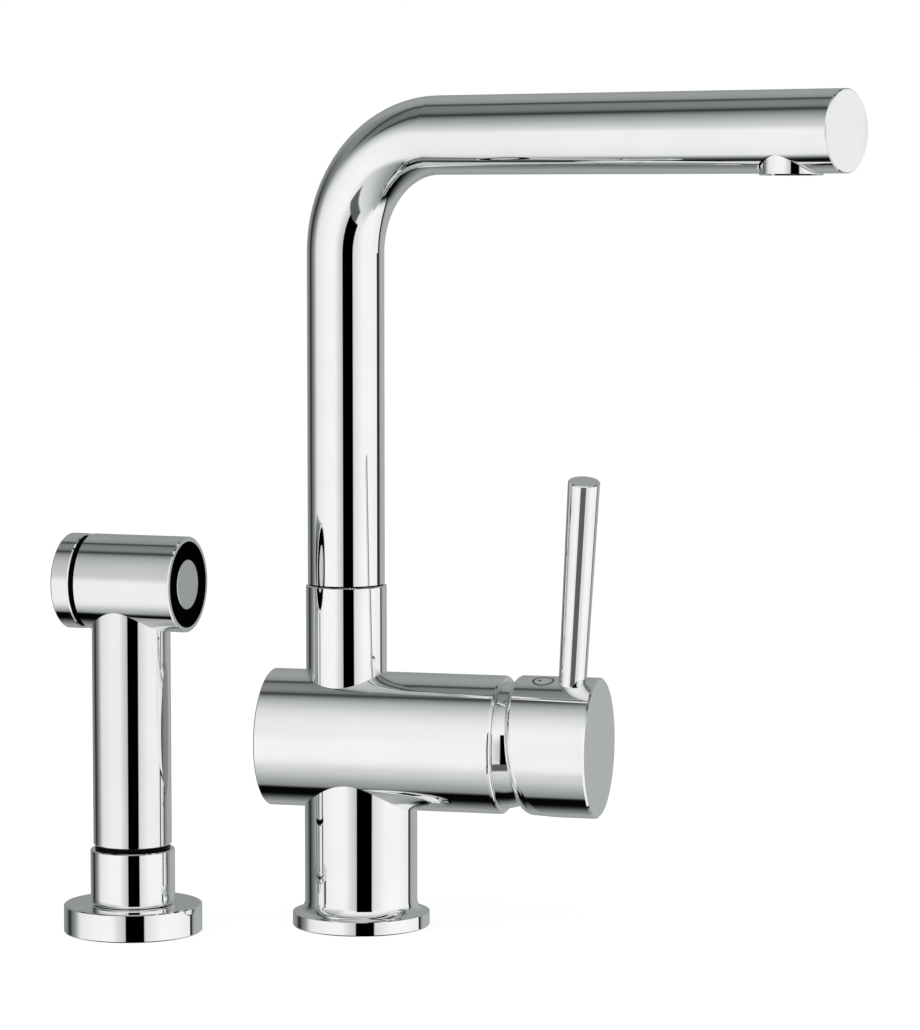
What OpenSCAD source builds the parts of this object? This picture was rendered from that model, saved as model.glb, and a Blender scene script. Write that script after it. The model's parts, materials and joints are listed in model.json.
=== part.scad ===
// Single-lever kitchen mixer with an L-shaped swivel spout and a pull-out hand spray in its own deck holder.
// Millimetres, +Z up. The origin is on the deck at the middle of the mixer's pedestal,
// and +X runs along the valve barrel towards its handle.

/* [Pedestal] */
// Diameter of the flange that stands on the deck
flange_d = 50; // [47:0.5:56]
// Height of the flange's straight rim
flange_h = 5; // [3.5:0.5:8]
// Diameter of the pedestal column
column_d = 41; // [40:0.5:44]
// Wall of the pedestal column
column_wall = 2.7; // [2:0.1:3]
// Thickness of the connection plate in the column's foot
plate_h = 14; // [11:0.5:20]

/* [Barrel] */
// Diameter of the horizontal valve barrel
barrel_d = 50; // [48:0.5:54]
// Height of the barrel's axis above the deck
barrel_z = 68.1; // [64:0.1:78]
// Distance from the pedestal's axis to the barrel's closed end
barrel_back = 33.3; // [30:0.1:42]
// Distance from the pedestal's axis to the barrel's open end
barrel_front = 55; // [52:0.5:60]
// Radius of the rounded lip at the barrel's open end
lip_round = 1.5; // [1:0.1:1.6]
// Wall of the barrel at its open end
mouth_wall = 2.1; // [2:0.1:2.6]
// Width of the small bevels on the chromed edges
edge_bevel = 0.4; // [0.2:0.1:0.6]

/* [Spout] */
// Offset of the spout's axis from the pedestal's axis
spout_offset = 5.4; // [4.5:0.1:7]
// Diameter of the collar that carries the spout
collar_d = 29.4; // [28.8:0.1:32]
// Height of the collar's top above the deck
collar_top = 124.7; // [118:0.1:140]
// Outside diameter of the spout's tube
tube_d = 28; // [27.4:0.1:28.4]
// Wall of the spout's tube
tube_wall = 1.5; // [1.2:0.1:1.8]
// Height of the horizontal run's axis above the deck
spout_z = 287; // [260:1:320]
// Radius of the bend on the tube's axis
bend_r = 42; // [36:1:55]
// Distance from the spout's axis to its end face
spout_reach = 208.5; // [180:0.5:240]
// Turn of the spout from the barrel's direction, in degrees
spout_turn = -21; // [-90:1:90]
// Thickness of the disc that closes the spout's end
end_cap_t = 2.5; // [2:0.1:4]
// Length of the spigot that turns in the collar
spigot_len = 28; // [25:0.5:32]

/* [Aerator] */
// Distance from the aerator's axis to the spout's end face
aerator_setback = 21.3; // [20:0.1:30]
// Diameter of the aerator's housing
aerator_d = 21.8; // [20:0.1:22]
// Height of the aerator's housing
aerator_h = 9.4; // [8:0.1:10]
// How far the aerator stands below the tube
aerator_drop = 0.6; // [0.4:0.1:1.2]

/* [Handle] */
// How far the handle stands out past the barrel, on the radius
handle_over = 0.3; // [0:0.05:0.5]
// Distance from the barrel's open end to the handle's end face
handle_len = 34.2; // [33.5:0.1:45]
// Distance from the barrel's open end to the handle's rim
handle_gap = 5.4; // [5:0.1:7]
// Radius of the rounded shoulder at the handle's rim
handle_round = 4.1; // [3:0.1:4.5]
// Slant of the handle's rim, in degrees
rim_slant = 6.1; // [2:0.1:7]
// Turn of the handle towards the user, in degrees
lever_turn = 14.2; // [-45:0.1:45]
// Distance from the lever's foot to the handle's end face
lever_setback = 8.5; // [8:0.1:11]
// Lean of the lever away from the barrel, in degrees
lever_lean = 6.3; // [0:0.1:8]
// Length of the lever above the handle
lever_len = 76; // [60:1:100]
// Diameter of the lever at its foot
lever_foot_d = 10; // [9:0.1:11]
// Diameter of the lever at its tip
lever_tip_d = 11.4; // [10:0.1:13]
// Diameter of the hot and cold mark
mark_d = 8.2; // [7:0.1:9]
// Distance from the lever's foot to the middle of the mark
mark_setback = 10.8; // [10.5:0.1:12]

/* [Valve] */
// Wall of the dome under the handle's rim
dome_wall = 2; // [1.5:0.1:2.4]
// Diameter of the ceramic cartridge
cartridge_d = 35; // [35:0.5:37]
// Diameter of the stem that the handle sits on
stem_d = 8; // [7:0.1:8.4]
// Depth of the stem's pivot inside the barrel's open end
pivot_depth = 1.2; // [1:0.1:1.5]
// Distance from the stem's pivot to its ball end
ball_arm = 9.8; // [9.6:0.1:10]
// Diameter of the stem's ball end
ball_d = 5; // [4.4:0.1:5.2]
// Travel of the diverter's piston
diverter_travel = 3; // [2:0.1:3.5]

/* [Spray holder] */
// Distance from the pedestal's axis to the spray's axis, along the barrel
spray_x = -76.5; // [-120:0.5:-70]
// Distance from the pedestal's axis to the spray's axis, across the barrel
spray_y = -33; // [-50:0.5:0]
// Diameter of the holder's flange
holder_d = 50; // [46:0.5:56]
// Height of the holder's flange
holder_h = 10.1; // [8:0.1:12]
// Outside diameter of the holder's sleeve
sleeve_d = 30.5; // [30:0.1:32]
// Height of the sleeve's top above the deck
sleeve_top = 30.2; // [28:0.1:40]

/* [Hand spray] */
// Diameter of the spray's grip
grip_d = 28.3; // [27.5:0.1:29]
// Height of the spray head's axis above the deck
head_z = 126.8; // [110:0.1:160]
// Diameter of the spray head
head_d = 34.4; // [33.6:0.1:36]
// Length of the head from the grip's axis to the button end
head_front = 22.6; // [21:0.1:26]
// Length of the head from the grip's axis to the nozzle end
head_back = 23.9; // [23:0.1:28]
// Width of the chromed ring round the nozzles
nozzle_ring_w = 7; // [6:0.1:7.5]
// Width of the black groove behind that ring
groove_w = 1.7; // [1.2:0.1:2.2]
// Turn of the spray head from the barrel's direction, in degrees
head_turn = -5.6; // [-90:0.1:90]
// Diameter of the round badge plate in the button
badge_d = 17.8; // [14:0.1:20]
// Travel of the spray's button
button_travel = 2.5; // [1.5:0.1:2.5]

/* [Clearances] */
// Gap between pieces that turn or slide in each other
running = 0.05; // [0.03:0.01:0.08]
// Gap between pieces that are only placed together
seat_gap = 0.02; // [0.01:0.01:0.05]
// Gap between the handle and the dome
dome_gap = 0.5; // [0.4:0.05:0.6]

/* [Hidden] */
$fn = 96;
nothing = 0.01;

// Threads are plain bores and shafts of the thread's own minor or major radius
inlet_r = 4.5;
inlet_depth = 10;
inlet_x = 7.5;
inlet_y = 9.5;
outlet_x = -spout_offset;
stud_r = 3.4;
stud_x = -6.5;
stud_y = 11;
shank_r = 13.2;
hose_r = 6.95;

column_r = column_d / 2;
barrel_r = barrel_d / 2;
tube_r = tube_d / 2;
tube_bore = tube_r - tube_wall;
collar_r = collar_d / 2;
washer_t = 0.5;
spout_low = collar_top + washer_t;
spigot_r = 11;
spigot_low = collar_top - spigot_len;
diverter_r = 8;
diverter_depth = 19;
diverter_low = barrel_z - diverter_depth;

pivot_x = barrel_front - pivot_depth;
cartridge_r = cartridge_d / 2;
seat_depth = 26.5;
seat_x = pivot_x - seat_depth;
guide_depth = 7;
guide_x = pivot_x - guide_depth;
dome_r = barrel_r - mouth_wall;
cavity_r = dome_r + dome_gap;
handle_r = barrel_r + handle_over;
handle_end = barrel_front + handle_len;
rim_x = barrel_front + handle_gap;
lever_x = handle_end - lever_setback;
mark_x = lever_x - mark_setback;
stem_r = stem_d / 2;
stem_end = lever_x + 3;

housing_shoulder = 2;
nut_r = cartridge_r + 2;
nut_x = guide_x + housing_shoulder;
nut_front = barrel_front + 1;
skirt_depth = 2.5;
skirt_x = barrel_front - skirt_depth;

grip_r = grip_d / 2;
grip_low = sleeve_top + 1.2;
grip_bore = 11.5;
sleeve_r = sleeve_d / 2;
sleeve_low = 2;
bush_r = sleeve_r - 1.65;
bush_bore = bush_r - 0.7;
bush_low = 12.2;
bush_top = sleeve_top - 0.6;
head_r = head_d / 2;
ring_x = nozzle_ring_w - head_back;
shell_x = ring_x + groove_w;

o_ring_section = 1.3;
o_ring_groove = 2 * (o_ring_section + running);
groove_play = 0.1;
spring_wire_r = 0.4;
spring_end = spring_wire_r + 0.1;

// Frames that the pieces are drawn in
module on_barrel(x = 0) {
    translate([x, 0, barrel_z]) rotate([0, 90, 0]) children();
}

// X stays along the barrel and Z points along the lever
module on_valve(x = 0) {
    translate([x, 0, barrel_z]) rotate([lever_turn, 0, 0]) children();
}

module on_spout() {
    translate([-spout_offset, 0, 0]) rotate([0, 0, spout_turn]) children();
}

module on_aerator() {
    on_spout() translate([spout_reach - aerator_setback, 0, spout_z]) children();
}

module on_grip() {
    translate([spray_x, spray_y, 0]) children();
}

// X runs along the spray head from its nozzles to its button
module on_head() {
    translate([spray_x, spray_y, head_z]) rotate([0, 0, head_turn]) children();
}

// A cylinder from x1 to x2 on the local X axis
module rod_x(r, x1, x2) {
    translate([x1, 0, 0]) rotate([0, 90, 0]) cylinder(r = r, h = x2 - x1);
}

module tube_x(r, bore, x1, x2) {
    difference() {
        rod_x(r, x1, x2);
        rod_x(bore, x1 - 1, x2 + 1);
    }
}

// A cylinder from z1 to z2 on the local Z axis
module rod_z(r, z1, z2) {
    translate([0, 0, z1]) cylinder(r = r, h = z2 - z1);
}

module tube_z(r, bore, z1, z2) {
    difference() {
        rod_z(r, z1, z2);
        rod_z(bore, z1 - 1, z2 + 1);
    }
}

// A round bar on Z whose two ends are bevelled
module bevelled_bar(r, z1, z2, low = edge_bevel, high = edge_bevel) {
    rotate_extrude()
        polygon([[0, z1], [r - low, z1], [r, z1 + low], [r, z2 - high], [r - high, z2], [0, z2]]);
}

module ring_section(r, section) {
    rotate_extrude() translate([r, 0]) circle(r = section, $fn = 32);
}

// An open coil of round wire on Z, swept by its own formula
spring_sides = 6;
spring_steps = 8;
spring_turns = 2.5;
function coil_ring(r, h, t) = [for (k = [0:spring_sides - 1])
    let (a = 360 * spring_turns * t, b = 360 * k / spring_sides, q = r + spring_wire_r * cos(b))
    [q * cos(a), q * sin(a), h * t + spring_wire_r * sin(b)]];

module coil_spring(r, h) {
    rings = round(spring_turns * spring_steps);
    points = [for (i = [0:rings]) each coil_ring(r, h, i / rings)];
    sides = [for (i = [0:rings - 1], k = [0:spring_sides - 1], half = [0, 1])
        let (a = i * spring_sides + k, b = i * spring_sides + (k + 1) % spring_sides)
        half == 0 ? [a, b, b + spring_sides] : [a, b + spring_sides, a + spring_sides]];
    first = [for (k = [1:spring_sides - 2]) [0, k + 1, k]];
    last_ring = rings * spring_sides;
    last = [for (k = [1:spring_sides - 2]) [last_ring, last_ring + k, last_ring + k + 1]];
    polyhedron(points = points, faces = concat(sides, first, last));
}

// Mixer pedestal

module pedestal_profile() {
    fillet = flange_d / 2 - column_r;
    difference() {
        union() {
            square([flange_d / 2, flange_h]);
            square([column_r, barrel_z]);
            translate([0, flange_h]) square([flange_d / 2, fillet]);
        }
        translate([flange_d / 2, flange_h + fillet]) circle(r = fillet);
    }
}

seal_groove_w = 2.4;
seal_groove_h = 2;

// The groove under a flange of radius r, and the rubber ring in it
module seal_groove(r) {
    tube_z(r, r - seal_groove_w, -1, seal_groove_h);
}

module flange_seal(r) {
    tube_z(r - seat_gap, r - seal_groove_w + seat_gap, 0, seal_groove_h - seat_gap);
}

deck_seal_r = flange_d / 2 - 3;
column_bore = column_r - column_wall;

module pedestal() {
    color("gainsboro") difference() {
        rotate_extrude() intersection() {
            pedestal_profile();
            polygon([[0, 0], [flange_d / 2 - edge_bevel, 0], [flange_d / 2, edge_bevel],
                [flange_d / 2, barrel_z], [0, barrel_z]]);
        }
        rod_z(column_bore, -1, barrel_z + 1);
        seal_groove(deck_seal_r);
        on_barrel() rod_z(barrel_r + seat_gap, -flange_d, flange_d);
    }
}

// Places its children at each inlet, or at each hose socket of the connection plate
module at_inlets() {
    for (side = [-1, 1]) translate([inlet_x, side * inlet_y, 0]) children();
}

module at_sockets() {
    at_inlets() children();
    translate([outlet_x, 0, 0]) children();
}

pipe_r = 4.2;
pipe_bore = 3.2;
pipe_socket = 5;
outlet_socket = 4;
outlet_bore = 2.4;
function barrel_under(y) = barrel_z - sqrt(pow(barrel_r, 2) - pow(y, 2));

module connection_plate() {
    color("darkkhaki") difference() {
        rod_z(column_bore - seat_gap, 0, plate_h);
        at_sockets() rod_z(inlet_r, -1, inlet_depth);
        at_sockets() rod_z(pipe_bore, -1, plate_h + 1);
        for (side = [-1, 1]) translate([stud_x, side * stud_y, 0]) rod_z(stud_r, -1, inlet_depth);
    }
}

module deck_seal() {
    color("dimgray") flange_seal(deck_seal_r);
}

module inlet_pipes() {
    color("peru") at_inlets() tube_z(pipe_r, pipe_bore, plate_h, barrel_under(inlet_y) + pipe_socket);
}

module spray_pipe() {
    color("peru") on_collar() tube_z(pipe_r, pipe_bore, plate_h, barrel_under(0) + outlet_socket);
}

// Valve barrel

port_r = 2.8;
port_rise = 3;
chamber_r = 5.2;
chamber_wall = 7;
seat_wall = 3;

// Bevelled at its closed end and rounded at its open end
module barrel_profile() {
    lip_x = barrel_front - lip_round;
    union() {
        polygon([[0, -barrel_back], [barrel_r - edge_bevel, -barrel_back],
            [barrel_r, edge_bevel - barrel_back], [barrel_r, lip_x], [barrel_r - lip_round, barrel_front],
            [0, barrel_front]]);
        translate([barrel_r - lip_round, lip_x]) circle(r = lip_round);
    }
}

module barrel_blank() {
    union() {
        on_barrel() rotate_extrude() barrel_profile();
        on_collar() bevelled_bar(collar_r, barrel_z, collar_top, 0, edge_bevel);
    }
}

module barrel_waterways() {
    // cartridge chamber, nut thread and the dome's seat in the mouth
    on_barrel() rod_z(cartridge_r + running, seat_x, barrel_front + 1);
    on_barrel() rod_z(nut_r, nut_x, barrel_front + 1);
    on_barrel() rod_z(dome_r + seat_gap, skirt_x, barrel_front + 1);
    // mixed water runs back along the axis to the diverter
    on_barrel() rod_z(chamber_r, chamber_wall - barrel_back, seat_x - seat_wall);
    on_barrel() rod_z(port_r, 0, seat_x + 1);
    // hot and cold water rise beside that and turn towards the cartridge
    at_inlets() rod_z(pipe_r + seat_gap, 0, barrel_under(inlet_y) + pipe_socket);
    at_inlets() rod_z(pipe_bore, 0, barrel_z + port_rise);
    translate([0, 0, barrel_z]) at_ports() rod_x(port_r, inlet_x, seat_x + 1);
    // the diverter and the spout's spigot share one bore above the hand spray's outlet
    on_collar() rod_z(pipe_r + seat_gap, 0, barrel_under(0) + outlet_socket);
    on_collar() rod_z(outlet_bore, 0, diverter_low + 1);
    on_collar() rod_z(diverter_r, diverter_low, collar_top);
    on_collar() rod_z(spigot_r, diverter_top, collar_top + 1);
}

set_screw_r = 2;
lower_ring_z = spigot_low + 3.5;
ring_depth = 11;
upper_ring_z = collar_top - ring_depth;
set_screw_z = (lower_ring_z + upper_ring_z) / 2;

// Places its children on the spout's set screw, with Z out through the back of the collar
module on_set_screw() {
    translate([-spout_offset, 0, set_screw_z]) rotate([-90, 0, 0]) children();
}

module barrel() {
    color("gainsboro") difference() {
        barrel_blank();
        barrel_waterways();
        on_set_screw() rod_z(set_screw_r, 0, collar_r + 1);
    }
}

// Ceramic cartridge, drawn about the barrel's axis

base_h = 6;
fixed_disc_h = 3.4;
moving_disc_h = 3.2;
disc_x = seat_x + base_h;
moving_x = disc_x + fixed_disc_h;
carrier_x = moving_x + moving_disc_h;
housing_wall = 2.6;
port_seal_w = 1.4;
port_seal_h = 1.6;
window_r = 2;
window_y = 7;
window_z = 4.5;
pocket_depth = 2.5;
outlet_r = 2.5;
guide_r = 10.1;
guide_end = pivot_x + 4.5;
neck_end = pivot_x + 5;
neck_r = guide_r + 2.1;

module at_ports() {
    for (side = [-1, 1]) translate([0, side * inlet_y, port_rise]) children();
}

module at_windows() {
    for (side = [-1, 1]) translate([0, side * window_y, window_z]) children();
}

module on_cartridge() {
    translate([0, 0, barrel_z]) children();
}

module cartridge_housing() {
    color("whitesmoke") on_cartridge() difference() {
        union() {
            rod_x(cartridge_r, disc_x, nut_x);
            rod_x(neck_r, disc_x, neck_end);
        }
        rod_x(cartridge_r - housing_wall, disc_x - 1, guide_x);
        rod_x(guide_r + running, disc_x, neck_end + 1);
    }
}

module cartridge_base() {
    color("whitesmoke") on_cartridge() difference() {
        rod_x(cartridge_r, seat_x, disc_x);
        at_ports() rod_x(port_r, seat_x - 1, disc_x + 1);
        at_ports() rod_x(port_r + port_seal_w, seat_x - 1, seat_x + port_seal_h);
        rod_x(port_r, seat_x - 1, disc_x + 1);
        rod_x(port_r + port_seal_w, seat_x - 1, seat_x + port_seal_h);
        // a pocket leads each inlet to its window in the disc
        at_windows() rod_x(window_r + 0.4, disc_x - pocket_depth, disc_x + 1);
    }
}

module port_seal() {
    tube_x(port_r + port_seal_w - running, port_r + running, seat_x, seat_x + port_seal_h - seat_gap);
}

module cartridge_seals() {
    color("dimgray") on_cartridge() {
        at_ports() port_seal();
        port_seal();
    }
}

module fixed_ceramic_disc() {
    color("lightgray") on_cartridge() difference() {
        rod_x(cartridge_r - housing_wall - 0.1, disc_x, moving_x);
        at_windows() rod_x(window_r, disc_x - 1, moving_x + 1);
        rod_x(outlet_r, disc_x - 1, moving_x + 1);
    }
}

disc_r = 11;
recess_r = 6.1;
recess_h = 1.2;
recess_offset = 1.6;

// Slid up by the stem, the recess in its face joins the two windows with the outlet
module moving_ceramic_disc() {
    color("lightgray") on_valve() difference() {
        rod_x(disc_r, moving_x, carrier_x);
        translate([0, 0, -recess_offset]) rod_x(recess_r, moving_x - 1, moving_x + recess_h);
    }
}

ball_r = ball_d / 2;
ball_x = pivot_x - ball_arm;
ball_play = 0.12;
pivot_pin_r = 1.5;
stem_play = 0.3;
stem_neck_r = ball_r - 1;
block_back = 2.5;
block_len = 6.5;
guide_floor = 1.5;
ball_slot = 8;

module disc_carrier() {
    color("steelblue") on_valve() difference() {
        rod_x(disc_r - 1, carrier_x, guide_x - 2 * running);
        rod_x(ball_r + ball_play, ball_x - ball_r - ball_play, guide_x);
    }
}

module stem_guide() {
    color("steelblue") on_valve() difference() {
        rod_x(guide_r, guide_x, guide_end);
        // the slot that the stem tilts in, and the way down to the ball
        translate([guide_x + guide_floor, -stem_r - stem_play, -guide_r])
            cube([guide_end - guide_x, stem_d + 2 * stem_play, 2 * guide_r]);
        translate([guide_x - 1, -ball_r - stem_play, -ball_slot / 2])
            cube([guide_floor + 2, ball_d + 2 * stem_play, ball_slot + ball_arm / 2]);
        on_pivot() cylinder(r = pivot_pin_r, h = 3 * guide_r, center = true);
    }
}

// Places its children on the stem's pivot, with Z across the lever
module on_pivot() {
    translate([pivot_x, 0, 0]) rotate([90, 0, 0]) children();
}

module stem_pivot_pin() {
    color("silver") on_valve() on_pivot()
        cylinder(r = pivot_pin_r - seat_gap, h = 2 * guide_r - 2, center = true);
}

module cartridge_stem() {
    color("darkkhaki") on_valve() difference() {
        union() {
            rod_x(stem_r, pivot_x, stem_end);
            translate([pivot_x - block_back, -stem_r, -stem_r]) cube([block_len, stem_d, stem_d]);
            rod_x(stem_neck_r, ball_x, pivot_x);
            translate([ball_x, 0, 0]) sphere(r = ball_r);
        }
        on_pivot() cylinder(r = pivot_pin_r + running, h = 3 * stem_d, center = true);
    }
}

nut_key = 30;
nut_key_depth = 2.5;

module cartridge_nut() {
    color("darkkhaki") on_cartridge() difference() {
        rod_x(nut_r - seat_gap, nut_x, nut_front);
        rod_x(neck_r + 0.2, nut_x - 1, nut_front + 1);
        // the key's six flats
        translate([nut_front - nut_key_depth, 0, 0]) rotate([0, 90, 0])
            cylinder(r = nut_key / 2 / cos(30), h = nut_key_depth + 1, $fn = 6);
    }
}

dome_opening = 15.5;

// A half sphere about the stem's pivot, on a short skirt in the barrel's mouth
module dome_cover() {
    skirt_h = pivot_x - skirt_x - seat_gap;
    color("gainsboro") on_barrel(pivot_x) rotate_extrude() union() {
        intersection() {
            difference() {
                circle(r = dome_r);
                circle(r = dome_r - dome_wall);
            }
            translate([dome_opening, 0]) square(dome_r);
        }
        translate([dome_r - dome_wall, -skirt_h]) square([dome_wall, skirt_h]);
    }
}

// Handle, drawn at rest with its end face square to the barrel

rim_over = 0.1;
rim_flare = 10;
handle_bevel = 0.6;

module handle_outer() {
    rim_r = handle_r + rim_over;
    intersection() {
        along_x() bevelled_bar(handle_r, pivot_x, handle_end, 0, handle_bevel);
        // the slanted, rounded rim flares just enough to clear the rest of the cap
        translate([rim_x, 0, 0]) rotate([0, 90 - rim_slant, 0]) rotate_extrude() union() {
            translate([rim_r - handle_round, handle_round]) circle(r = handle_round);
            square([rim_r - handle_round, 2 * handle_len]);
            polygon([[0, handle_round], [rim_r, handle_round], [rim_r + rim_flare, 2 * handle_len],
                [0, 2 * handle_len]]);
        }
    }
}

module along_x() {
    rotate([0, 90, 0]) children();
}

// Places its children on the lever's axis, with Z along the lever and the origin on the barrel's axis
module on_lever_axis() {
    translate([lever_x, 0, handle_r]) rotate([0, lever_lean, 0]) translate([0, 0, -handle_r]) children();
}

handle_wall = 4.5;
handle_end_wall = 4;
stem_boss_r = stem_r + 4;
stem_boss_x = pivot_x + 10;
lever_boss_r = 6.5;
lever_stud_r = 3;
mark_depth = 1.6;

// The hollow that clears the dome, round the boss on the stem
module handle_cavity() {
    difference() {
        translate([pivot_x, 0, 0]) sphere(r = cavity_r);
        rod_x(stem_boss_r, stem_boss_x, handle_end);
    }
}

// The hollow between the cap's wall and its bosses
module handle_core() {
    difference() {
        tube_x(handle_r - handle_wall, stem_boss_r, stem_boss_x, handle_end - handle_end_wall);
        on_lever_axis() rod_z(lever_boss_r, 0, handle_r);
        translate([mark_x, 0, 0]) rod_z(lever_boss_r, 0, handle_r);
    }
}

module handle_cap() {
    color("gainsboro") on_valve() difference() {
        handle_outer();
        handle_cavity();
        handle_core();
        rod_x(stem_r + seat_gap, pivot_x, stem_end + stem_play);
        on_lever_axis() rod_z(lever_stud_r, 0, handle_r + lever_foot_d / 2);
        translate([mark_x, 0, 0]) rod_z(mark_d / 2 + seat_gap, handle_r - mark_depth, handle_r + 1);
    }
}

lever_bury = 2;
stud_gap = 10;
stud_low = stem_r + stud_gap;

module lever_pin() {
    lever_top = handle_r + lever_len;
    color("gainsboro") on_valve() difference() {
        on_lever_axis() rotate_extrude() polygon([[0, stud_low], [lever_stud_r - running, stud_low],
            [lever_stud_r - running, handle_r - lever_bury], [lever_foot_d / 2, handle_r - lever_bury],
            [lever_tip_d / 2, lever_top - edge_bevel], [lever_tip_d / 2 - edge_bevel, lever_top],
            [0, lever_top]]);
        // its foot fits the cap's round side
        difference() {
            rod_x(handle_r + seat_gap, lever_x - lever_foot_d, lever_x + lever_foot_d);
            on_lever_axis() rod_z(lever_stud_r - running, 0, handle_r + lever_bury);
        }
    }
}

screw_gap = 0.2;
screw_len = 9.3;
screw_key_r = 1.7;
screw_key_depth = 3.5;

module lever_set_screw() {
    color("dimgray") on_valve() on_lever_axis() difference() {
        rod_z(lever_stud_r - running, stem_r + screw_gap, stem_r + screw_gap + screw_len);
        translate([0, 0, stem_r + screw_gap + screw_len - screw_key_depth])
            cylinder(r = screw_key_r, h = screw_key_depth + 1, $fn = 6);
    }
}

mark_line = 0.4;
mark_edge = 0.35;
mark_sink = 0.7;
mark_dot_r = 0.55;
mark_dot_offset = 1.3;

module temperature_mark() {
    ring_r = mark_d / 2 - mark_edge;
    color("silver") on_valve(mark_x) difference() {
        intersection() {
            rod_z(mark_d / 2, handle_r - mark_depth + seat_gap, handle_r + 1);
            rod_x(handle_r, -mark_d, mark_d);
        }
        // a thin ring and a dot are sunk in its face
        tube_z(ring_r, ring_r - mark_line, handle_r - mark_sink, handle_r + 1);
        translate([-mark_dot_offset, 0, 0]) rod_z(mark_dot_r, handle_r - mark_sink, handle_r + 1);
    }
}

// Automatic diverter below the spout

diverter_top = spigot_low - 1.5;
diverter_floor = 2;
diverter_port_r = 4;
piston_r = 5.2;
piston_rise = 8;
piston_h = 3;
piston_flats = 7;
piston_rod_r = 1.4;
piston_head_h = 2;
piston_z = diverter_low + piston_rise;
head_low = diverter_top - piston_head_h - 1;
ledge_top = head_low - diverter_travel - 0.2;
ledge_h = 2;
ledge_w = 2;
head_play = 0.6;
spring_r = piston_r - 1.6;

// Places its children on the collar's axis
module on_collar() {
    translate([-spout_offset, 0, 0]) children();
}

module diverter_sleeve() {
    color("whitesmoke") on_collar() difference() {
        rod_z(diverter_r - seat_gap, diverter_low, diverter_top);
        rod_z(piston_r, diverter_low + diverter_floor, ledge_top - ledge_h);
        rod_z(piston_r - ledge_w, ledge_top - ledge_h - 1, ledge_top + 1);
        rod_z(piston_r, ledge_top, diverter_top + 1);
        rod_z(outlet_bore, diverter_low - 1, diverter_low + diverter_floor + 1);
        translate([0, 0, barrel_z]) rod_x(diverter_port_r, -2 * diverter_r, 2 * diverter_r);
    }
}

// The head rests above its ledge and is drawn down on it when the hand spray is opened
module diverter_piston() {
    color("orange") on_collar() union() {
        intersection() {
            rod_z(piston_r - running, piston_z, piston_z + piston_h);
            // water passes the guide's two flats
            translate([-piston_flats / 2, -piston_r, piston_z]) cube([piston_flats, 2 * piston_r, piston_h]);
        }
        rod_z(piston_rod_r, piston_z, head_low + 1);
        rod_z(piston_r - head_play, head_low, head_low + piston_head_h);
    }
}

module diverter_spring() {
    low = diverter_low + diverter_floor + spring_end;
    color("silver") on_collar() translate([0, 0, low]) coil_spring(spring_r, piston_z - spring_end - low);
}

// Spout

washer_edge = 0.6;

module spout_washer() {
    color("black") on_spout() tube_z(tube_r - washer_edge, spigot_r, collar_top, spout_low);
}

screw_groove = 1.2;

module spout_set_screw() {
    color("dimgray") on_set_screw() difference() {
        rod_z(set_screw_r - seat_gap, spigot_r - screw_groove + 0.1, collar_r - 0.5);
        translate([0, 0, collar_r - 2.5]) cylinder(r = set_screw_r - 0.9, h = collar_r, $fn = 6);
    }
}

// The path of a tube of radius r: up, round the bend and out
module bent_tube(r, low, out) {
    rod_z(r, low, spout_z - bend_r);
    translate([bend_r, 0, spout_z - bend_r]) rotate([90, 0, 0]) rotate([0, 0, 90]) rotate_extrude(angle = 90)
        translate([bend_r, 0]) circle(r = r);
    translate([0, 0, spout_z]) rod_x(r, bend_r, out);
}

aerator_hole = aerator_d / 2 + 0.6;

module spout_tube() {
    color("gainsboro") difference() {
        on_spout() difference() {
            bent_tube(tube_r, spout_low, spout_reach - end_cap_t);
            bent_tube(tube_bore, spout_low - nothing, spout_reach);
        }
        on_aerator() rod_z(aerator_hole, -tube_r - 1, 0);
    }
}

cap_ring_depth = 4;
cap_ring_w = 2;

module spout_end_cap() {
    color("gainsboro") on_spout() translate([0, 0, spout_z]) {
        along_x() bevelled_bar(tube_r, spout_reach - end_cap_t, spout_reach, 0, edge_bevel);
        tube_x(tube_bore - seat_gap, tube_bore - cap_ring_w, spout_reach - end_cap_t - cap_ring_depth,
            spout_reach - end_cap_t / 2);
    }
}

spigot_bore = 7;
spigot_insert = 12;

module spigot_groove(z, half, depth) {
    tube_z(spigot_r + 1, spigot_r - depth, z - half, z + half);
}

module spout_spigot() {
    color("darkkhaki") on_spout() difference() {
        union() {
            rod_z(spigot_r - running, spigot_low, spout_low);
            rod_z(tube_bore - seat_gap, spout_low, spout_low + spigot_insert);
        }
        rod_z(spigot_bore, spigot_low - 1, spout_low + spigot_insert + 1);
        for (z = [lower_ring_z, upper_ring_z]) spigot_groove(z, o_ring_section + groove_play, o_ring_groove);
        spigot_groove(set_screw_z, set_screw_r + 0.3, screw_groove);
    }
}

module spout_o_rings() {
    color("dimgray") on_spout() for (z = [lower_ring_z, upper_ring_z])
        translate([0, 0, z]) ring_section(spigot_r - o_ring_section - running, o_ring_section - seat_gap);
}

// Aerator, drawn about the tube's axis

socket_wall = 1.6;
socket_top = aerator_h - tube_r + socket_wall;
nipple_r = aerator_d / 2 - 1.7;
nipple_low = 3.8 - tube_r;
housing_low = -tube_r - aerator_drop;
housing_top = housing_low + aerator_h;
housing_lip = 1;
housing_lip_w = 0.9;
washer_h = 1.2;

// Soldered in the tube, with a nipple for the housing's thread
module aerator_socket() {
    color("darkkhaki") on_aerator() difference() {
        intersection() {
            rod_z(aerator_hole + 0.5, -tube_r, socket_top);
            rod_x(tube_bore - seat_gap, -aerator_d, aerator_d);
        }
        tube_z(aerator_hole, nipple_r, -tube_r - 1, socket_top - socket_wall);
        rod_z(nipple_r - socket_wall, -tube_r - 1, socket_top + 1);
        rod_z(aerator_hole, -tube_r - 1, nipple_low);
    }
}

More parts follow.
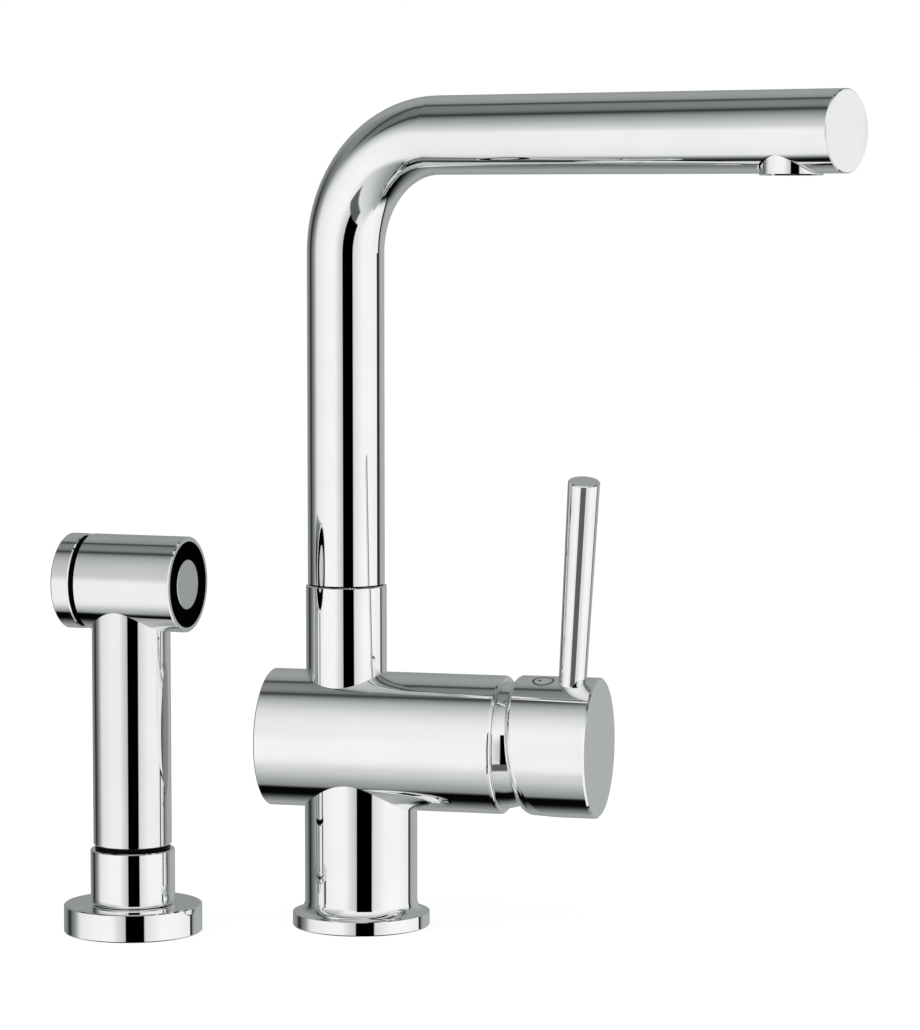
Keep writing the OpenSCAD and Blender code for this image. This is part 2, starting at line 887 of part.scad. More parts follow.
module aerator_housing() {
    color("gainsboro") on_aerator() difference() {
        bevelled_bar(aerator_d / 2, housing_low, housing_top, 0.5, 0.2);
        rod_z(nipple_r + running, housing_low + housing_lip, housing_top + 1);
        rod_z(nipple_r - housing_lip_w, housing_low - 1, housing_top);
    }
}

cell_r = 0.7;
cell_pitch = 1.9;
cell_rim = 2.2;
cell_depth = 1.2;

// The honeycomb that the water leaves through
module aerator_insert() {
    low = housing_low + housing_lip;
    color("silver") on_aerator() difference() {
        rod_z(nipple_r - running, low, nipple_low - washer_h);
        for (i = [-5:5], j = [-5:5]) {
            x = (i + (abs(j) % 2) / 2) * cell_pitch;
            y = j * cell_pitch * sin(60);
            if (norm([x, y]) < nipple_r - cell_rim)
                translate([x, y, low - 1]) cylinder(r = cell_r, h = cell_depth + 1, $fn = 6);
        }
    }
}

module aerator_washer() {
    color("black") on_aerator() tube_z(nipple_r - running, nipple_r - 2, nipple_low - washer_h, nipple_low);
}

// Deck holder of the hand spray

holder_seal_r = holder_d / 2 - 2;

module holder_flange() {
    color("gainsboro") on_grip() difference() {
        bevelled_bar(holder_d / 2, 0, holder_h);
        rod_z(sleeve_r + seat_gap, sleeve_low, holder_h + 1);
        rod_z(shank_r + 0.4, -1, sleeve_low + 1);
        seal_groove(holder_seal_r);
    }
}

module holder_seal() {
    color("dimgray") on_grip() flange_seal(holder_seal_r);
}

foot_round = 1.3;

// Takes the corner off the sleeve's foot, just above the flange
module sleeve_foot() {
    rotate_extrude() difference() {
        translate([sleeve_r - foot_round, holder_h]) square([2 * foot_round, foot_round]);
        translate([sleeve_r - foot_round, holder_h + foot_round]) circle(r = foot_round);
    }
}

module holder_sleeve() {
    color("gainsboro") on_grip() difference() {
        bevelled_bar(sleeve_r, sleeve_low, sleeve_top, 0, edge_bevel);
        sleeve_foot();
        rod_z(shank_r, 0, bush_low);
        rod_z(bush_r, bush_low, sleeve_top + 1);
    }
}

module holder_bush() {
    color("black") on_grip() tube_z(bush_r - seat_gap, bush_bore, bush_low, bush_top);
}

plug_gap = 0.1;
plug_low = bush_low + 0.4;
plug_r = bush_bore - plug_gap;
plug_nose = 6;
plug_nose_w = 1.5;
plug_collar_low = bush_top + running;
plug_collar_r = bush_r - plug_gap;
plug_neck = 12;
plug_top = grip_low + plug_neck;
plug_ring_z = grip_low + 4;
hose_depth = 9;
hose_bore = 4.5;
check_valve_r = 8.2;
check_valve_seat = plug_top - 6;
check_port_r = 1.8;
check_port_at = 4.6;

// The hose's end: its cone stands in the bush, and the grip swivels on its neck
module hose_plug() {
    color("black") on_grip() difference() {
        rotate_extrude() polygon([[0, plug_low], [plug_r - plug_nose_w, plug_low],
            [plug_r, plug_low + plug_nose], [plug_r, plug_collar_low],
            [plug_collar_r, plug_collar_low], [plug_collar_r, grip_low - plug_gap],
            [grip_bore - running, grip_low - plug_gap], [grip_bore - running, plug_top], [0, plug_top]]);
        rod_z(hose_bore, plug_low - 1, plug_top + 1);
        rod_z(hose_r, plug_low - 1, plug_low + hose_depth);
        rod_z(check_valve_r, check_valve_seat, plug_top + 1);
        tube_z(grip_bore + 1, grip_bore - o_ring_groove, plug_ring_z - o_ring_section - groove_play,
            plug_ring_z + o_ring_section + groove_play);
    }
}

module hose_plug_o_rings() {
    color("dimgray") on_grip() translate([0, 0, plug_ring_z])
        ring_section(grip_bore - o_ring_section - running, o_ring_section - seat_gap);
}

module check_valve() {
    color("orange") on_grip() difference() {
        rod_z(check_valve_r - seat_gap, check_valve_seat, plug_top + 2);
        for (i = [0:2]) rotate([0, 0, 120 * i]) translate([check_port_at, 0, 0])
            rod_z(check_port_r, check_valve_seat - 1, plug_top + 3);
    }
}

// Hand spray: grip and head are one casting

shell_wall = 1.7;
shell_bevel = 0.6;
thread_r = head_r - 3.8;
plunger_r = 2.5;
waterway_r = 5;
button_h = 2.7;
button_recess = 0.3;
button_face = head_front - button_recess;
button_back = button_face - button_h;
spring_room = 3.5;
pocket_r = head_r - shell_wall;
pocket_x = button_back - button_travel - spring_room;
valve_chamber_r = 9;
valve_chamber_x = pocket_x - 4;
seat_wall_x = -5.5;

module spray_body() {
    color("gainsboro") difference() {
        union() {
            on_grip() bevelled_bar(grip_r, grip_low, head_z, 2 * edge_bevel, 0);
            on_head() along_x() bevelled_bar(head_r, shell_x, head_front, shell_bevel, edge_bevel);
        }
        on_grip() rod_z(grip_bore, grip_low - 1, head_z - head_r - 2);
        on_grip() rod_z(waterway_r, grip_low, head_z);
        on_head() rod_x(thread_r, shell_x - 1, seat_wall_x);
        on_head() rod_x(valve_chamber_r, seat_wall_x - 1, valve_chamber_x);
        on_head() rod_x(plunger_r + running, 0, head_front);
        on_head() rod_x(pocket_r, pocket_x, head_front + 1);
    }
}

gasket_sink = 0.8;

module nozzle_gasket() {
    color("black") on_head() tube_x(head_r - gasket_sink, thread_r + running, ring_x, shell_x);
}

ring_wall = 2.2;
ring_floor = 1.6;

module nozzle_ring() {
    color("gainsboro") on_head() difference() {
        along_x() bevelled_bar(head_r, -head_back, ring_x, shell_bevel, edge_bevel);
        rod_x(head_r - ring_wall, -head_back - 1, ring_x - ring_floor);
        rod_x(thread_r + running, -head_back, ring_x + 1);
    }
}

face_sink = 0.9;
face_x = face_sink - head_back;
plate_wall = 1.8;
nozzle_proud = 0.7;
nozzle_r = 0.85;
nozzle_pitch = 3.6;

module nozzle_plate() {
    color("dimgray") on_head() {
        difference() {
            union() {
                rod_x(head_r - ring_wall - running, face_x, ring_x - ring_floor);
                rod_x(thread_r - seat_gap, face_x, seat_wall_x - 2 * running);
            }
            rod_x(thread_r - plate_wall, face_x + plate_wall, 0);
        }
        // the nozzles stand in rings of six more each
        for (ring = [0:3], i = [0:max(6 * ring, 1) - 1]) rotate([60 * i / max(ring, 1), 0, 0])
            translate([0, 0, ring * nozzle_pitch]) rod_x(nozzle_r, face_x - nozzle_proud, face_x + 1);
    }
}

// Push valve: the button moves the plunger's head off its seat

valve_seat_h = 2.5;
valve_seat_bore = 4;
valve_head_r = 6;
valve_head_h = 2.5;
valve_gap = 0.1;

module valve_seat() {
    color("dimgray") on_head()
        tube_x(valve_chamber_r - seat_gap, valve_seat_bore, seat_wall_x, seat_wall_x + valve_seat_h);
}

module valve_plunger() {
    color("darkkhaki") on_head() {
        rod_x(plunger_r, seat_wall_x - valve_gap - 1, button_back);
        rod_x(valve_head_r, seat_wall_x - valve_gap - valve_head_h, seat_wall_x - valve_gap);
    }
}

module valve_spring() {
    color("silver") on_head() translate([pocket_x + spring_end, 0, 0]) rotate([0, 90, 0])
        coil_spring(2 * plunger_r, button_back - pocket_x - 2 * spring_end);
}

button_play = 0.15;
badge_h = 1.2;
badge_proud = 0.2;
badge_seat = button_face + badge_proud - badge_h;

module spray_button() {
    color("black") on_head() difference() {
        along_x() bevelled_bar(pocket_r - button_play, button_back, button_face, 0, button_recess);
        rod_x(badge_d / 2 + seat_gap, badge_seat, head_front + 1);
    }
}

module button_badge() {
    color("silver") on_head() along_x()
        bevelled_bar(badge_d / 2, badge_seat, badge_seat + badge_h, 0, button_play);
}

pedestal();
connection_plate();
deck_seal();
barrel();
inlet_pipes();
spray_pipe();
cartridge_housing();
cartridge_base();
cartridge_seals();
fixed_ceramic_disc();
cartridge_nut();
dome_cover();
diverter_sleeve();
diverter_piston();
diverter_spring();
stem_guide();
stem_pivot_pin();
moving_ceramic_disc();
disc_carrier();
cartridge_stem();
handle_cap();
lever_pin();
lever_set_screw();
temperature_mark();
spout_washer();
spout_set_screw();
spout_tube();
spout_spigot();
spout_o_rings();
spout_end_cap();
aerator_socket();
aerator_housing();
aerator_insert();
aerator_washer();
holder_flange();
holder_sleeve();
holder_bush();
holder_seal();
hose_plug();
hose_plug_o_rings();
check_valve();
spray_body();
nozzle_ring();
nozzle_gasket();
nozzle_plate();
valve_seat();
valve_plunger();
valve_spring();
spray_button();
button_badge();
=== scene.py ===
import json
import math

import bmesh
import bpy
from mathutils import Matrix, Vector


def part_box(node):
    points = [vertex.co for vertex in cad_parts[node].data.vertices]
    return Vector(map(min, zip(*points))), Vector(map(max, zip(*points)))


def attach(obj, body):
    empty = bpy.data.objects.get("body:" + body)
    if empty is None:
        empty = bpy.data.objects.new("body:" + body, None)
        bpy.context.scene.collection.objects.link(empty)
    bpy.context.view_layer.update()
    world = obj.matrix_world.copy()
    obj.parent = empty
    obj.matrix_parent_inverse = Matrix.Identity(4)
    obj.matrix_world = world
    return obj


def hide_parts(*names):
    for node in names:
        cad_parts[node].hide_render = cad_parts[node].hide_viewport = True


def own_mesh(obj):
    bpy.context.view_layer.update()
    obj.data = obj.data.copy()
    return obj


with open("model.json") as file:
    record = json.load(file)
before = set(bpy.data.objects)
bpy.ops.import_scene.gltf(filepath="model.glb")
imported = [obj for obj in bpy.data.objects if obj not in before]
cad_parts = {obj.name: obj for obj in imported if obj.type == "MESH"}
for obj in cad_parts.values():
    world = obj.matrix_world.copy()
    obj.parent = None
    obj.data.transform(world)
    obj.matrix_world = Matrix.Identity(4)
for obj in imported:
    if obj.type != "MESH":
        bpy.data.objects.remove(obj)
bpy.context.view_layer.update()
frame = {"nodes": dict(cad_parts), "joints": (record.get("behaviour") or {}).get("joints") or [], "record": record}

SCENE = bpy.context.scene
JOINTS = {joint["name"]: joint for joint in frame["joints"]}
MOUNTS = {mount["name"]: mount for mount in frame["record"]["mounts"]}

# The camera stands where the photograph was taken from, on a long lens.
CAMERA_TURN = math.radians(14.974)
CAMERA_RISE = math.radians(4.749)
CAMERA_DISTANCE = 1.40396
CAMERA_LENS = 136.2
CAMERA_SENSOR = 36.0
CAMERA_CLIP = (0.05, 30.0)
LOOKED_AT = Vector((0.03739, 0.0, 0.15093))

TO_CAMERA = Vector((math.sin(CAMERA_TURN), -math.cos(CAMERA_TURN), 0.0))
TO_RIGHT = Vector((math.cos(CAMERA_TURN), math.sin(CAMERA_TURN), 0.0))
UP = Vector((0.0, 0.0, 1.0))

# The studio round the object, as its mirror finish shows it: grey levels by angle, in degrees.
# Walls: from the camera's side round to the right
WALL_LEVELS = [(-180, 0.32), (-160, 0.3), (-142, 0.26), (-133.8, 0.105), (-126.8, 0.011), (-120.4, 0.1),
               (-114.7, 0.205), (-109.4, 0.27), (-104.4, 0.4), (-99.7, 0.64), (-95, 0.785), (-91, 0.86),
               (-58, 0.98), (-40, 0.99), (-30, 0.97), (-22, 0.8), (-13, 0.66), (-9, 0.58), (22, 0.6),
               (27, 0.78), (34, 0.84), (44, 0.93), (54, 0.99), (80, 1.0), (104, 0.92), (114.4, 0.9),
               (115.1, 0.02), (119.6, 0.02), (123.2, 0.3), (127.8, 0.42), (150, 0.46), (180, 0.32)]
# Ceiling: from straight up to the camera's side
CEILING_LEVELS = [(-90, 0.3), (-62, 0.34), (-50, 0.36), (-38.5, 0.335), (-31.5, 0.28), (-28.5, 0.12),
                  (-25.5, 0.04), (-23, 0.19), (-19, 0.225), (-12, 0.255), (-8, 0.245), (-4.3, 0.18),
                  (-1.7, 0.09), (0.9, 0.045), (3.6, 0.15), (6.3, 0.256), (9, 0.34), (15, 0.48), (22, 0.585),
                  (30, 0.71), (37, 0.79), (45, 0.86), (52, 0.91), (66, 0.97), (90, 1.0)]
# Floor: from straight down to the camera's side
FLOOR_LEVELS = [(-90, 0.4), (-60, 0.42), (-48, 0.38), (-43, 0.33), (-39, 0.27), (-31.3, 0.18), (-28, 0.12),
                (-24.7, 0.07), (-21.6, 0.03), (-17, 0.002), (-1, 0.002), (1.4, 0.1), (3.8, 0.27),
                (8.7, 0.33), (13, 0.38), (19.4, 0.45), (23.5, 0.51), (29.6, 0.6), (35.6, 0.67),
                (41.5, 0.72), (47, 0.78), (55, 0.86), (66, 0.92), (90, 0.98)]

# Where one part of the studio gives way to the next, in parts of a unit direction
CEILING_RISE = (0.1, 0.45)
FLOOR_FALL = (0.3, 0.7)
FLOOR_SIDE = (0.46, 0.66)
# The left wall darkens towards its top.
LEFT_TOP_RISE = (0.0, 0.3)
LEFT_TOP_SIDE = (-0.42, -0.72)
LEFT_TOP_SHADE = 0.3
# A dark slot, and a dim foot below it: the left, right, bottom and top edges of each
SLOT_EDGES = (-0.15, 0.4, -0.5, 0.44)
SLOT_SOFTNESS = 0.03
FOOT_EDGES = (-0.42, 0.26, -0.68, -0.44)
FOOT_SOFTNESS = 0.05
FOOT_SHADE = 0.85
# The share of its red that the darkest grey keeps. White keeps all of it.
RED_IN_SHADE = 0.93
# What the studio sheds on matt surfaces
SOFT_LIGHT = (0.8, 0.8, 0.8, 1)
WHITE = (1, 1, 1, 1)

# The floor that the object stands on glows, so the camera sees it white, with a soft shadow.
FLOOR_HALF = 4.0
FLOOR_DROP = 0.0002
FLOOR_PAINT = (0.95, 0.95, 0.95, 1)
FLOOR_GLOW = 1.08
FLOOR_GLOW_SHARE = 0.8

LAMP_PLACE = Vector((-0.9, -1.3, 1.9))
LAMP_WIDTH = 1.6
LAMP_POWER = 14.0


class Tree:
    """Adds nodes to one shader or geometry tree and joins them."""

    def __init__(self, tree):
        self.tree = tree
        tree.nodes.clear()

    def add(self, kind, values=None, **settings):
        node = self.tree.nodes.new(kind)
        for name, value in settings.items():
            setattr(node, name, value)
        for key, value in (values or {}).items():
            if isinstance(value, bpy.types.NodeSocket):
                self.tree.links.new(value, node.inputs[key])
            else:
                node.inputs[key].default_value = value
        return node

    def maths(self, operation, *values):
        return self.add("ShaderNodeMath", dict(enumerate(values)), operation=operation).outputs[0]

    def product(self, first, *others):
        result = first
        for value in others:
            result = self.maths("MULTIPLY", result, value)
        return result

    def rest_of_one(self, value):
        return self.maths("SUBTRACT", 1.0, value)

    def dot(self, vector, axis):
        node = self.add("ShaderNodeVectorMath", {0: vector, 1: axis}, operation="DOT_PRODUCT")
        return node.outputs["Value"]

    def fade(self, value, start, end, low=0.0, high=1.0):
        """A smooth step from low at start to high at end."""
        span = {"Value": value, "From Min": start, "From Max": end, "To Min": low, "To Max": high}
        return self.add("ShaderNodeMapRange", span, interpolation_type="SMOOTHSTEP").outputs["Result"]

    def blend(self, factor, a, b):
        """Colour a where the factor is 0, b where it is 1. The node's sockets 6 and 7 are its two colours."""
        return self.add("ShaderNodeMix", {"Factor": factor, 6: a, 7: b}, data_type="RGBA").outputs[2]

    def levels(self, degrees, stops):
        """Grey levels by angle, from stops of (degrees, grey)."""
        place = self.add("ShaderNodeMapRange", {"Value": degrees, "From Min": -180.0, "From Max": 180.0})
        ramp = self.add("ShaderNodeValToRGB", {"Fac": place.outputs["Result"]})
        elements = ramp.color_ramp.elements
        while len(elements) < len(stops):
            elements.new(0.5)
        for element, (angle, grey) in zip(elements, stops):
            element.position = angle / 360 + 0.5
            element.color = (grey, grey, grey, 1)
        return ramp.outputs["Color"]


# Studio

def make_studio():
    """White walls with one dark slot by the camera, a dark frame behind, and a plain white backdrop."""
    world = bpy.data.worlds.new("studio")
    SCENE.world = world
    world.use_nodes = True
    t = Tree(world.node_tree)
    direction = t.add("ShaderNodeTexCoord").outputs["Generated"]
    right, front, up = t.dot(direction, TO_RIGHT), t.dot(direction, TO_CAMERA), t.dot(direction, UP)
    down = t.maths("MULTIPLY", up, -1.0)
    side = t.maths("ABSOLUTE", right)

    def turned(a, b):
        return t.maths("MULTIPLY", t.maths("ARCTAN2", a, b), 180 / math.pi)

    def patch(edges, softness):
        """One in a soft-edged oblong in front of the object, and nothing elsewhere."""
        left_edge, right_edge, bottom_edge, top_edge = edges
        return t.product(t.fade(right, left_edge, left_edge + softness),
                         t.fade(right, right_edge - softness, right_edge, 1.0, 0.0),
                         t.fade(up, bottom_edge, bottom_edge + softness),
                         t.fade(up, top_edge - softness, top_edge, 1.0, 0.0),
                         t.maths("GREATER_THAN", front, 0.0))

    walls = t.levels(turned(right, front), WALL_LEVELS)
    ceiling = t.levels(turned(front, up), CEILING_LEVELS)
    floor = t.levels(turned(front, down), FLOOR_LEVELS)
    low = t.product(t.fade(down, *FLOOR_FALL), t.fade(side, *FLOOR_SIDE, 1.0, 0.0))
    grey = t.blend(low, t.blend(t.fade(up, *CEILING_RISE), walls, ceiling), floor)
    left_top = t.product(t.fade(up, *LEFT_TOP_RISE), t.fade(right, *LEFT_TOP_SIDE), LEFT_TOP_SHADE)
    slot = patch(SLOT_EDGES, SLOT_SOFTNESS)
    foot = t.product(patch(FOOT_EDGES, FOOT_SOFTNESS), FOOT_SHADE)
    grey = t.product(grey, t.rest_of_one(left_top), t.rest_of_one(t.maths("MAXIMUM", slot, foot)))
    red = t.product(grey, t.maths("MULTIPLY_ADD", grey, 1 - RED_IN_SHADE, RED_IN_SHADE))
    mirrored = t.add("ShaderNodeCombineColor", {0: red, 1: grey, 2: grey}).outputs[0]

    rays = t.add("ShaderNodeLightPath").outputs
    colour = t.blend(rays["Is Glossy Ray"], SOFT_LIGHT, mirrored)
    colour = t.blend(t.maths("MAXIMUM", rays["Is Camera Ray"], rays["Is Transmission Ray"]), colour, WHITE)
    background = t.add("ShaderNodeBackground", {"Color": colour, "Strength": 1.0})
    t.add("ShaderNodeOutputWorld", {"Surface": background.outputs[0]})


def make_floor():
    """A pale floor that keeps a soft shadow. The polished pieces mirror the studio's own floor instead."""
    material = bpy.data.materials.new("pale_floor")
    material.use_nodes = True
    t = Tree(material.node_tree)
    rays = t.add("ShaderNodeLightPath").outputs
    matt = t.add("ShaderNodeBsdfDiffuse", {"Color": FLOOR_PAINT})
    glow = t.add("ShaderNodeEmission", {"Color": WHITE, "Strength": FLOOR_GLOW})
    share = t.product(t.maths("MAXIMUM", rays["Is Camera Ray"], rays["Is Glossy Ray"]), FLOOR_GLOW_SHARE)
    surface = t.add("ShaderNodeMixShader", {0: share, 1: matt.outputs[0], 2: glow.outputs[0]})
    t.add("ShaderNodeOutputMaterial", {"Surface": surface.outputs[0]})

    mesh = bpy.data.meshes.new("studio_floor")
    corners = [(x * FLOOR_HALF, y * FLOOR_HALF, 0) for x, y in ((-1, -1), (1, -1), (1, 1), (-1, 1))]
    mesh.from_pydata(corners, [], [(0, 1, 2, 3)])
    mesh.materials.append(material)
    floor = bpy.data.objects.new("studio_floor", mesh)
    floor.location = (0, 0, -FLOOR_DROP)
    floor.visible_glossy = False
    SCENE.collection.objects.link(floor)


def make_lamp():
    """A broad soft window, high on the left."""
    light = bpy.data.lights.new("window", "AREA")
    light.shape = "DISK"
    light.size = LAMP_WIDTH
    light.energy = LAMP_POWER
    lamp = bpy.data.objects.new("window", light)
    lamp.location = LAMP_PLACE
    lamp.rotation_euler = (LOOKED_AT - LAMP_PLACE).to_track_quat("-Z", "Y").to_euler()
    lamp.visible_glossy = False
    SCENE.collection.objects.link(lamp)


def make_camera():
    data = bpy.data.cameras.new("camera")
    data.lens = CAMERA_LENS
    data.sensor_width = CAMERA_SENSOR
    data.sensor_fit = "AUTO"
    data.clip_start, data.clip_end = CAMERA_CLIP
    back = TO_CAMERA * math.cos(CAMERA_RISE) + UP * math.sin(CAMERA_RISE)
    turn = Matrix((TO_RIGHT, back.cross(TO_RIGHT), back)).transposed().to_4x4()
    camera = bpy.data.objects.new("camera", data)
    camera.matrix_world = Matrix.Translation(LOOKED_AT + back * CAMERA_DISTANCE) @ turn
    SCENE.collection.objects.link(camera)
    SCENE.camera = camera


# Finishes: noise scales are in cycles to the metre, and a span is the noise over which a finish changes.

WEAR_SCALE = 45.0
WEAR_TINT_SPAN = (0.35, 0.65)
WEAR_GLOSS_SPAN = (0.35, 0.7)
WORN_TINT = 0.97
WAVE_SCALE = 30.0
MOTTLE_SCALE = 120.0
MOTTLE_GLOSS_SPAN = (0.3, 0.7)
MOTTLE_TINT = 1.2
MOTTLE_GLOSS = 0.15
GRAIN_SCALE = 900.0
NOISE_ROUGHNESS = 0.55
BUMP_HEIGHT = 0.0002


def finish(name):
    """A new material, its tree and its shader."""
    material = bpy.data.materials.new(name)
    material.use_nodes = True
    t = Tree(material.node_tree)
    shader = t.add("ShaderNodeBsdfPrincipled")
    t.add("ShaderNodeOutputMaterial", {"Surface": shader.outputs[0]})
    return material, t, shader


def noise(t, scale, detail=3.0):
    place = t.add("ShaderNodeTexCoord").outputs["Object"]
    look = {"Vector": place, "Scale": scale, "Detail": detail, "Roughness": NOISE_ROUGHNESS}
    return t.add("ShaderNodeTexNoise", look).outputs["Fac"]


def bump(t, shader, height, strength):
    node = t.add("ShaderNodeBump", {"Height": height, "Strength": strength, "Distance": BUMP_HEIGHT})
    t.tree.links.new(node.outputs["Normal"], shader.inputs["Normal"])


def tinted(colour, share):
    return tuple(min(1.0, channel * share) for channel in colour[:3]) + (1,)


def metal(name, colour, smoothest, roughest, scale=WEAR_SCALE, waviness=0.0):
    """Polished or turned metal: its gloss varies a little over the surface."""
    material, t, shader = finish(name)
    shader.inputs["Metallic"].default_value = 1.0
    wear = noise(t, scale)
    shown = t.blend(t.fade(wear, *WEAR_TINT_SPAN), tinted(colour, WORN_TINT), colour)
    t.tree.links.new(shown, shader.inputs["Base Color"])
    t.tree.links.new(t.fade(wear, *WEAR_GLOSS_SPAN, smoothest, roughest), shader.inputs["Roughness"])
    if waviness:
        bump(t, shader, noise(t, WAVE_SCALE, 1.0), waviness)
    return material


def plastic(name, colour, roughness, grain=0.0, sheen_level=0.5):
    """Moulded plastic, rubber or ceramic with a fine grain."""
    material, t, shader = finish(name)
    shader.inputs["Specular IOR Level"].default_value = sheen_level
    mottle = noise(t, MOTTLE_SCALE)
    t.tree.links.new(t.blend(mottle, colour, tinted(colour, MOTTLE_TINT)), shader.inputs["Base Color"])
    low, high = roughness * (1 - MOTTLE_GLOSS), roughness * (1 + MOTTLE_GLOSS)
    t.tree.links.new(t.fade(mottle, *MOTTLE_GLOSS_SPAN, low, high), shader.inputs["Roughness"])
    if grain:
        bump(t, shader, noise(t, GRAIN_SCALE, 2.0), grain)
    return material


CHROME = metal("polished_chrome", (0.93, 0.93, 0.93, 1), 0.008, 0.02, waviness=0.0012)
SPRAY_CHROME = metal("chromed_plastic", (0.87, 0.87, 0.87, 1), 0.015, 0.035, waviness=0.003)
BRASS = metal("turned_brass", (0.72, 0.55, 0.27, 1), 0.18, 0.34)
COPPER = metal("copper_pipe", (0.82, 0.44, 0.3, 1), 0.2, 0.38)
STEEL = metal("spring_steel", (0.62, 0.62, 0.6, 1), 0.2, 0.35)
BADGE = metal("satin_badge", (0.78, 0.79, 0.8, 1), 0.3, 0.38, scale=500.0)
CERAMIC = plastic("fired_ceramic", (0.82, 0.82, 0.8, 1), 0.22)
WHITE_PLASTIC = plastic("valve_plastic", (0.75, 0.76, 0.76, 1), 0.4, grain=0.1)
BLUE_PLASTIC = plastic("guide_plastic", (0.16, 0.3, 0.5, 1), 0.4, grain=0.1)
ORANGE_PLASTIC = plastic("check_valve_plastic", (0.8, 0.3, 0.06, 1), 0.4, grain=0.1)
BLACK_PLASTIC = plastic("black_plastic", (0.002, 0.002, 0.002, 1), 0.4, grain=0.05, sheen_level=0.04)
MATT_BLACK = plastic("button_black", (0.001, 0.001, 0.001, 1), 0.8, grain=0.05, sheen_level=0.0)
BLACK_RUBBER = plastic("black_rubber", (0.001, 0.001, 0.001, 1), 0.7, grain=0.2, sheen_level=0.01)
SEAL_RUBBER = plastic("seal_rubber", (0.03, 0.03, 0.03, 1), 0.65, grain=0.2)
GREY_RUBBER = plastic("nozzle_rubber", (0.2, 0.205, 0.21, 1), 0.5, grain=0.15)
GREY_PLASTIC = plastic("aerator_plastic", (0.55, 0.56, 0.57, 1), 0.4, grain=0.1)
ENAMEL = plastic("mark_enamel", (0.004, 0.004, 0.005, 1), 0.35, grain=0.05, sheen_level=0.1)

FINISHES = {
    CHROME: ["pedestal", "barrel", "dome_cover", "handle_cap", "lever_pin", "spout_tube", "spout_end_cap",
             "aerator_socket", "aerator_housing", "holder_flange", "holder_sleeve", "temperature_mark"],
    SPRAY_CHROME: ["spray_body", "nozzle_ring"],
    BRASS: ["connection_plate", "cartridge_nut", "cartridge_stem", "spout_spigot", "valve_plunger"],
    COPPER: ["inlet_pipes", "spray_pipe"],
    STEEL: ["stem_pivot_pin", "diverter_spring", "valve_spring", "lever_set_screw", "spout_set_screw"],
    BADGE: ["button_badge"],
    CERAMIC: ["fixed_ceramic_disc", "moving_ceramic_disc"],
    WHITE_PLASTIC: ["cartridge_housing", "cartridge_base", "diverter_sleeve"],
    BLUE_PLASTIC: ["stem_guide", "disc_carrier"],
    ORANGE_PLASTIC: ["diverter_piston", "check_valve"],
    BLACK_PLASTIC: ["holder_bush", "hose_plug", "spout_washer", "valve_seat"],
    MATT_BLACK: ["spray_button"],
    BLACK_RUBBER: ["nozzle_gasket"],
    SEAL_RUBBER: ["deck_seal", "holder_seal", "cartridge_seals", "spout_o_rings", "hose_plug_o_rings",
                  "aerator_washer"],
    GREY_RUBBER: ["nozzle_plate"],
    GREY_PLASTIC: ["aerator_insert"],
}


def dress_nodes():
    """Gives each CAD node its finish."""
    for material, names in FINISHES.items():
        for name in names:
            mesh = frame["nodes"][name].data
            if not mesh.materials:
                mesh.materials.append(material)
            for i in range(len(mesh.materials)):
                mesh.materials[i] = material


# Tools for the pieces that are added to the CAD nodes

POINTS_IN_A_TURN = 40


class Grower(Tree):
    """A Geometry Nodes tree whose sizes are named inputs. It grows one piece on each of its seats."""

    def __init__(self, name, sizes):
        super().__init__(bpy.data.node_groups.new(name, "GeometryNodeTree"))
        self.sizes = sizes
        sockets = self.tree.interface
        sockets.new_socket(name="Seats", in_out="INPUT", socket_type="NodeSocketGeometry")
        for label, size in sizes.items():
            kind = "NodeSocketInt" if isinstance(size, int) else "NodeSocketFloat"
            sockets.new_socket(name=label, in_out="INPUT", socket_type=kind).default_value = size
        sockets.new_socket(name="Pieces", in_out="OUTPUT", socket_type="NodeSocketGeometry")
        self.size = self.add("NodeGroupInput").outputs

    def hoop(self, radius, corners):
        ring = self.add("GeometryNodeCurvePrimitiveCircle", {"Radius": radius, "Resolution": corners})
        return ring.outputs["Curve"]

    def winding(self, radius, height, turns):
        sizes = {"Resolution": POINTS_IN_A_TURN, "Rotations": turns, "Height": height,
                 "Start Radius": radius, "End Radius": radius}
        return self.add("GeometryNodeCurveSpiral", sizes).outputs["Curve"]

    def swept(self, path, section):
        return self.add("GeometryNodeCurveToMesh", {"Curve": path, "Profile Curve": section,
                                                    "Fill Caps": True}).outputs["Mesh"]

    def points(self, count, x, y, z):
        place = self.add("ShaderNodeCombineXYZ", {"X": x, "Y": y, "Z": z}).outputs[0]
        return self.add("GeometryNodePoints", {"Count": count, "Position": place}).outputs[0]

    def put_on(self, points, piece, **more):
        placing = {"Points": points, "Instance": piece, **more}
        return self.add("GeometryNodeInstanceOnPoints", placing).outputs[0]

    def end(self, pieces, material):
        real = self.add("GeometryNodeRealizeInstances", {"Geometry": pieces}).outputs[0]
        dressed = self.add("GeometryNodeSetMaterial", {"Geometry": real, "Material": material}).outputs[0]
        self.add("NodeGroupOutput", {"Pieces": dressed})


def face_outwards(mesh):
    shape = bmesh.new()
    shape.from_mesh(mesh)
    bmesh.ops.recalc_face_normals(shape, faces=shape.faces)
    shape.to_mesh(mesh)
    shape.free()


def hand_over(name, mesh, body):
    """Makes a mesh a piece that moves with its body."""
    piece = bpy.data.objects.new(name, mesh)
    SCENE.collection.objects.link(piece)
    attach(piece, body)
    return piece


